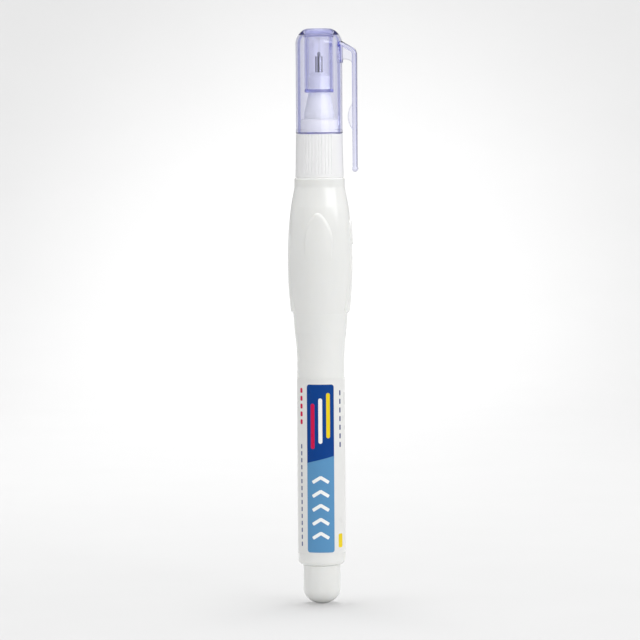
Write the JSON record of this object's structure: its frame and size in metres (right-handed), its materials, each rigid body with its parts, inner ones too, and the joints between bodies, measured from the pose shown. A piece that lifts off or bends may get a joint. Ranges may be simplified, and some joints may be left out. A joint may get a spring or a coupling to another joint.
{
  "type": "correction pen",
  "caption": "Slim squeeze-type correction pen with a swelling grip, ribbed collar, sprung needle tip and a clear clipped cap that pulls off.",
  "frame": {"origin": "lowest point of the domed tail, on the pen's axis", "axes": "+Z along the pen from the tail to the cap, +X through the clip, -Y the front"},
  "size_m": [0.0173, 0.0158, 0.14],
  "materials": {
    "white_plastic": "satin moulded polyethylene, cool white",
    "label_film": "printed gloss film",
    "clear_lavender": "clear tinted polystyrene, polished mould",
    "natural_plastic": "natural translucent polypropylene",
    "steel": "bright drawn stainless steel",
    "gasket_foam": "soft elastomer washer"
  },
  "bodies": {
    "pen_body": {"barrel": "white_plastic", "label": "label_film", "end_plug": "white_plastic", "ribbed_collar": "white_plastic", "neck_gasket": "gasket_foam", "spring_seat": "natural_plastic", "nozzle": "natural_plastic", "metal_tip": "steel", "valve_spring": "steel"},
    "cap": {"cap": "clear_lavender"},
    "needle": {"valve_needle": "steel", "needle_plunger": "natural_plastic"},
    "ball": {"mixing_ball": "steel"}
  },
  "joints": [
    {"name": "cap_pull", "type": "slide", "parent": "pen_body", "child": "cap", "axis": [0, 0, 1], "range_m": [0, 0.03]},
    {"name": "needle_press", "type": "slide", "parent": "pen_body", "child": "needle", "axis": [0, 0, -1], "range_m": [0, 0.0006], "stiffness_N_per_m": 300, "springref_m": -0.002, "deforming": ["valve_spring"]},
    {"name": "ball_travel", "type": "slide", "parent": "pen_body", "child": "ball", "axis": [0, 0, 1], "range_m": [0, 0.106]}
  ]
}
